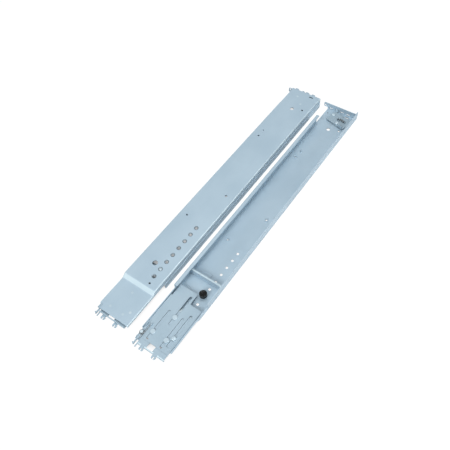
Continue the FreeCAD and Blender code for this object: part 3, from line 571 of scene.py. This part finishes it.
def makeTorsionSpring(side):
    values = torsionSpring
    radius, wire = values["radius"] / 1000, values["wire"] / 1000
    rise = (values["high"] - values["low"]) / 1000
    selectNothing()
    bpy.ops.mesh.primitive_circle_add(vertices=values["wireSides"], radius=wire,
                                      location=(0, -radius, 0), rotation=(0, math.pi / 2, 0))
    spring = bpy.context.view_layer.objects.active
    applyPlace(spring)
    coil = spring.modifiers.new("coil", "SCREW")
    coil.angle = -2 * math.pi * values["turns"]
    coil.screw_offset = rise
    coil.steps = values["turns"] * values["stepsPerTurn"]
    coil.render_steps = coil.steps
    applyModifiers(spring)
    for level, reach in ((0.0, values["longLeg"]), (rise, -values["shortLeg"])):
        def atEnd(vertex):
            return (abs(vertex.co.x) < values["onPlane"]
                    and abs(vertex.co.y + radius) < wire * values["endPlay"]
                    and abs(vertex.co.z - level) < wire * values["endPlay"])

        selectInEdit(spring, "VERT", atEnd)
        bpy.ops.mesh.extrude_region_move(TRANSFORM_OT_translate={"value": (reach / 1000, 0, 0)})
        bpy.ops.mesh.edge_face_add()
        bpy.ops.object.mode_set(mode="OBJECT")
    recalcNormals(spring)
    along, across = values["centre"]
    movePiece(spring, *railPlace(along, across, values["low"]))
    ends = [railPlace(along + far, across, values["low"]) for far in values["legBend"]]
    finishSpring(spring, side, "near_latch_spring",
                 ends, rides=True)


# ---- tension spring of the far latch: a close coil hooked over two posts

tensionSpring = {
    "webPost": (675.6, 8.6), "pivot": (683.2, 27.6), "rest": 15.0, "leverPost": (-1.3, -36.8),
    "height": 8.7, "coilRadius": 1.6, "wire": 0.4, "loop": 1.85, "stepsPerTurn": 20,
    "wireSides": 8, "loopSegments": 28,
}


def makeTensionSpring(side):
    values = tensionSpring
    turn = math.radians(values["rest"])
    alongLever, acrossLever = values["leverPost"]
    pivotAlong, pivotAcross = values["pivot"]
    post = Vector((pivotAlong + alongLever * math.cos(turn) + acrossLever * math.sin(turn),
                   pivotAcross - alongLever * math.sin(turn) + acrossLever * math.cos(turn)))
    start = Vector(values["webPost"])
    run = post - start
    reach = run.length / 1000
    wire, radius, loop = (values[key] / 1000 for key in ("wire", "coilRadius", "loop"))
    length = reach - 2 * loop
    turns = int(length / (2 * wire))
    selectNothing()
    bpy.ops.mesh.primitive_circle_add(vertices=values["wireSides"], radius=wire,
                                      location=(0, 0, radius), rotation=(0, math.pi / 2, 0))
    coil = bpy.context.view_layer.objects.active
    # the winding runs along X, so the section is turned to face along the wire
    coil.rotation_euler = (math.pi / 2, 0, 0)
    applyPlace(coil)
    winding = coil.modifiers.new("winding", "SCREW")
    winding.axis = "X"
    winding.angle = 2 * math.pi * turns
    winding.screw_offset = length
    winding.steps = turns * values["stepsPerTurn"]
    winding.render_steps = winding.steps
    applyModifiers(coil)
    selectOnly(coil)
    bpy.ops.object.mode_set(mode="EDIT")
    bpy.ops.mesh.select_all(action="DESELECT")
    bpy.ops.mesh.select_non_manifold()
    bpy.ops.mesh.fill_holes(sides=0)
    bpy.ops.object.mode_set(mode="OBJECT")
    recalcNormals(coil)
    movePiece(coil, loop, 0, 0)
    pieces = [coil]
    for along in (0.0, reach):
        selectNothing()
        bpy.ops.mesh.primitive_torus_add(major_radius=loop, minor_radius=wire,
                                         major_segments=values["loopSegments"],
                                         minor_segments=values["wireSides"],
                                         location=(along, 0, 0))
        hook = bpy.context.view_layer.objects.active
        applyPlace(hook)
        pieces.append(hook)
    spring = joinPieces(pieces, "tensionSpring")
    spring.rotation_euler = (0, 0, math.atan2(run.y, run.x))
    spring.location = railPlace(start.x, start.y, values["height"])
    applyPlace(spring)
    # points just inside the two hooks, by the web's post and by the lever's
    clear = run.normalized() * (values["loop"] + values["wire"])
    ends = [railPlace(spot.x, spot.y, values["height"]) for spot in (start + clear, post - clear)]
    finishSpring(spring, side, "far_latch_spring", ends,
                 rides=False)


for side in sides:
    makeTorsionSpring(side)
    makeTensionSpring(side)
print("stage: springs")

# ---- knob of the thumbscrew: fluted grip with a dished top

knobShape = {
    "place": (124.05, 0.0), "low": 6.2, "height": 9.5, "radius": 7.6, "flutes": 18,
    "fluteDepth": 0.55, "pointsPerFlute": 8, "wallFrom": 0.9, "fluteLeast": 0.25,
    "edge": 0.7, "skirt": 1.2, "dish": 4.3, "dishLip": 0.8, "dishDepth": 1.0,
    "topTilt": 0.9, "topArea": 0.00002,
    "softEdge": 0.2, "softSegments": 2, "softAngle": 40.0, "smooth": 35.0,
}


def fluteWall(knob):
    # draws the wall in between the ribs; the flutes fade out and the rim narrows at both edges
    values = knobShape
    radius, height = values["radius"] / 1000, values["height"] / 1000
    depth = values["fluteDepth"] / 1000
    least = values["fluteLeast"]
    for vertex in knob.data.vertices:
        across = math.hypot(vertex.co.x, vertex.co.y)
        if across < radius * values["wallFrom"]:
            continue
        turn = math.atan2(vertex.co.y, vertex.co.x)
        wave = 0.5 - 0.5 * math.cos(turn * values["flutes"])
        level = min(vertex.co.z, height - vertex.co.z) * 1000
        fade = min(1.0, level / values["skirt"])
        shrink = depth * wave * (least + (1.0 - least) * fade)
        if level < values["edge"] * 0.5:
            shrink += values["edge"] / 1000
        vertex.co.x *= (across - shrink) / across
        vertex.co.y *= (across - shrink) / across


def makeKnob(side):
    values = knobShape
    radius, height = values["radius"] / 1000, values["height"] / 1000
    count = values["flutes"] * values["pointsPerFlute"]
    selectNothing()
    bpy.ops.mesh.primitive_cylinder_add(vertices=count, radius=radius, depth=height,
                                        location=(0, 0, height / 2))
    knob = bpy.context.view_layer.objects.active
    applyPlace(knob)
    # the wall is cut into rings, so that the flutes can fade out
    for level in (values["edge"], values["skirt"], values["height"] - values["skirt"],
                  values["height"] - values["edge"]):
        selectOnly(knob)
        bpy.ops.object.mode_set(mode="EDIT")
        bpy.ops.mesh.select_all(action="SELECT")
        bpy.ops.mesh.bisect(plane_co=(0, 0, level / 1000), plane_no=(0, 0, 1))
        bpy.ops.object.mode_set(mode="OBJECT")
    fluteWall(knob)
    rim = radius - values["edge"] / 1000 - (values["dish"] + values["dishLip"]) / 1000
    for inset, drop in ((rim, 0.0), (values["dishLip"] / 1000, -values["dishDepth"] / 1000)):
        def onTop(face):
            return face.normal.z > values["topTilt"] and face.area > values["topArea"]

        selectInEdit(knob, "FACE", onTop)
        bpy.ops.mesh.inset(thickness=inset)
        if drop:
            bpy.ops.transform.translate(value=(0, 0, drop))
        bpy.ops.object.mode_set(mode="OBJECT")
    recalcNormals(knob)
    bevel = knob.modifiers.new("softEdge", "BEVEL")
    bevel.width = values["softEdge"] / 1000
    bevel.segments = values["softSegments"]
    bevel.limit_method = "ANGLE"
    bevel.angle_limit = math.radians(values["softAngle"])
    applyModifiers(knob)
    movePiece(knob, *railPlace(*values["place"], values["low"]))
    if side == "left":
        turnOver(knob, rides=False)
    knob.name = f"{side}_thumbscrew_grip"
    smoothByAngle(knob, values["smooth"])
    dress(knob, "thumbscrew_knob")
    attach(knob, side + "_thumbscrew")
    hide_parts(side + "_thumbscrew_knob")


for side in sides:
    makeKnob(side)
print("stage: knobs")

# ---- floor, light and camera

studio = {
    "floorHalf": 6.0, "floorGap": 0.0001, "floorColour": (0.86, 0.86, 0.86),
    "glow": 1.1, "shadowShare": 0.2,
    "coverSamples": 16, "coverDistance": 0.05, "coverDark": 0.05, "coverClear": 0.22,
    # painted shade: the colour the floor's glow turns to where the rails cover it
    "paintedFloorShadeColour": (0.045, 0.065, 0.08),
    "worldColour": (0.95, 0.985, 1.02),
    # a fade runs from one height to another, and from one strength to another
    "worldFade": (0.1, 0.8, 0.12, 0.36), "mirrorFade": (0.45, 0.78, 1.3, 0.85),
    "lamps": {"key": {"place": (-2.9, -0.2, 2.5), "size": 1.8, "power": 96.0},
              "fill": {"place": (0.7, -2.3, 0.75), "size": 1.2, "power": 26.0},
              "overhead": {"place": (0.45, -0.2, 2.3), "size": 0.9, "power": 16.0}},
    "lampAim": (0.15, 0.05, 0.0),
}


def makeFloor():
    low = cadBox[0]
    selectNothing()
    bpy.ops.mesh.primitive_plane_add(size=2 * studio["floorHalf"],
                                     location=(0, 0, low[2] - studio["floorGap"]))
    floor = bpy.context.view_layer.objects.active
    floor.name = "floor"
    applyPlace(floor)
    material = bpy.data.materials.new("paleFloor")
    material.use_nodes = True
    nodes, links = material.node_tree.nodes, material.node_tree.links
    nodes.clear()
    output = nodes.new("ShaderNodeOutputMaterial")
    diffuse = nodes.new("ShaderNodeBsdfDiffuse")
    diffuse.inputs["Color"].default_value = (*studio["floorColour"], 1.0)
    # painted shade: where the rails cover the floor its glow is darkened by occlusion, so that
    # holes over a hollow stay dark
    cover = nodes.new("ShaderNodeAmbientOcclusion")
    cover.samples = studio["coverSamples"]
    cover.inputs["Distance"].default_value = studio["coverDistance"]
    clear = nodes.new("ShaderNodeMapRange")
    clear.inputs["From Min"].default_value = studio["coverDark"]
    clear.inputs["From Max"].default_value = studio["coverClear"]
    links.new(cover.outputs["AO"], clear.inputs["Value"])
    tone = nodes.new("ShaderNodeMix")
    tone.data_type = "RGBA"
    tone.inputs["A"].default_value = (*studio["paintedFloorShadeColour"], 1.0)
    tone.inputs["B"].default_value = (1, 1, 1, 1)
    links.new(clear.outputs["Result"], tone.inputs["Factor"])
    glow = nodes.new("ShaderNodeEmission")
    glow.inputs["Strength"].default_value = studio["glow"]
    links.new(tone.outputs["Result"], glow.inputs["Color"])
    # the camera sees mostly the glow, and the share that is left takes the shadow
    rays = nodes.new("ShaderNodeLightPath")
    share = nodes.new("ShaderNodeMath")
    share.operation = "MULTIPLY"
    share.inputs[1].default_value = 1.0 - studio["shadowShare"]
    links.new(rays.outputs["Is Camera Ray"], share.inputs[0])
    mixed = nodes.new("ShaderNodeMixShader")
    links.new(share.outputs[0], mixed.inputs["Fac"])
    links.new(diffuse.outputs[0], mixed.inputs[1])
    links.new(glow.outputs[0], mixed.inputs[2])
    links.new(mixed.outputs[0], output.inputs["Surface"])
    floor.data.materials.append(material)


def makeWorld():
    world = bpy.data.worlds.new("paleRoom")
    bpy.context.scene.world = world
    world.use_nodes = True
    nodes, links = world.node_tree.nodes, world.node_tree.links
    nodes.clear()
    output = nodes.new("ShaderNodeOutputWorld")
    rays = nodes.new("ShaderNodeLightPath")
    room = nodes.new("ShaderNodeBackground")
    room.inputs["Color"].default_value = (*studio["worldColour"], 1.0)
    # the metal mirrors white walls below a dimmer ceiling, while most of the light comes from above
    place = nodes.new("ShaderNodeTexCoord")
    split = nodes.new("ShaderNodeSeparateXYZ")
    links.new(place.outputs["Generated"], split.inputs["Vector"])
    level = nodes.new("ShaderNodeMix")
    links.new(rays.outputs["Is Glossy Ray"], level.inputs["Factor"])
    for socket, name in (("A", "worldFade"), ("B", "mirrorFade")):
        fade = nodes.new("ShaderNodeMapRange")
        for port, number in zip(("From Min", "From Max", "To Min", "To Max"), studio[name]):
            fade.inputs[port].default_value = number
        links.new(split.outputs["Z"], fade.inputs["Value"])
        links.new(fade.outputs["Result"], level.inputs[socket])
    links.new(level.outputs["Result"], room.inputs["Strength"])
    backdrop = nodes.new("ShaderNodeBackground")
    backdrop.inputs["Strength"].default_value = 1.0
    backdrop.inputs["Color"].default_value = (1, 1, 1, 1)
    mixed = nodes.new("ShaderNodeMixShader")
    links.new(rays.outputs["Is Camera Ray"], mixed.inputs["Fac"])
    links.new(room.outputs[0], mixed.inputs[1])
    links.new(backdrop.outputs[0], mixed.inputs[2])
    links.new(mixed.outputs[0], output.inputs["Surface"])


def makeLamp(name, place, size, power):
    data = bpy.data.lights.new(name, "AREA")
    data.shape = "SQUARE"
    data.size = size
    data.energy = power
    lamp = bpy.data.objects.new(name, data)
    bpy.context.scene.collection.objects.link(lamp)
    lamp.location = place
    aim = Vector(studio["lampAim"]) - lamp.location
    lamp.rotation_euler = aim.to_track_quat("-Z", "Y").to_euler()


makeFloor()
makeWorld()
for name, lamp in studio["lamps"].items():
    makeLamp(name, **lamp)

# fitted to the photograph: the camera's place and its three axes in the row's frame
cameraView = {
    "place": (-0.39832, -0.33506, 0.88017),
    "right": (0.573643, -0.817605, -0.049552),
    "up": (0.682561, 0.443699, 0.580725),
    "back": (-0.452818, -0.366952, 0.812590),
    "lens": 41.958, "sensor": 36.0,
}
cameraData = bpy.data.cameras.new("camera")
cameraData.lens = cameraView["lens"]
cameraData.sensor_width = cameraView["sensor"]
camera = bpy.data.objects.new("camera", cameraData)
bpy.context.scene.collection.objects.link(camera)
axes = Matrix([Vector(cameraView[name]) for name in ("right", "up", "back")])
camera.matrix_world = (Matrix.Translation(Vector(cameraView["place"]))
                       @ axes.transposed().to_4x4())
bpy.context.scene.camera = camera
bpy.context.scene.view_settings.view_transform = "Standard"
print("stage: studio")
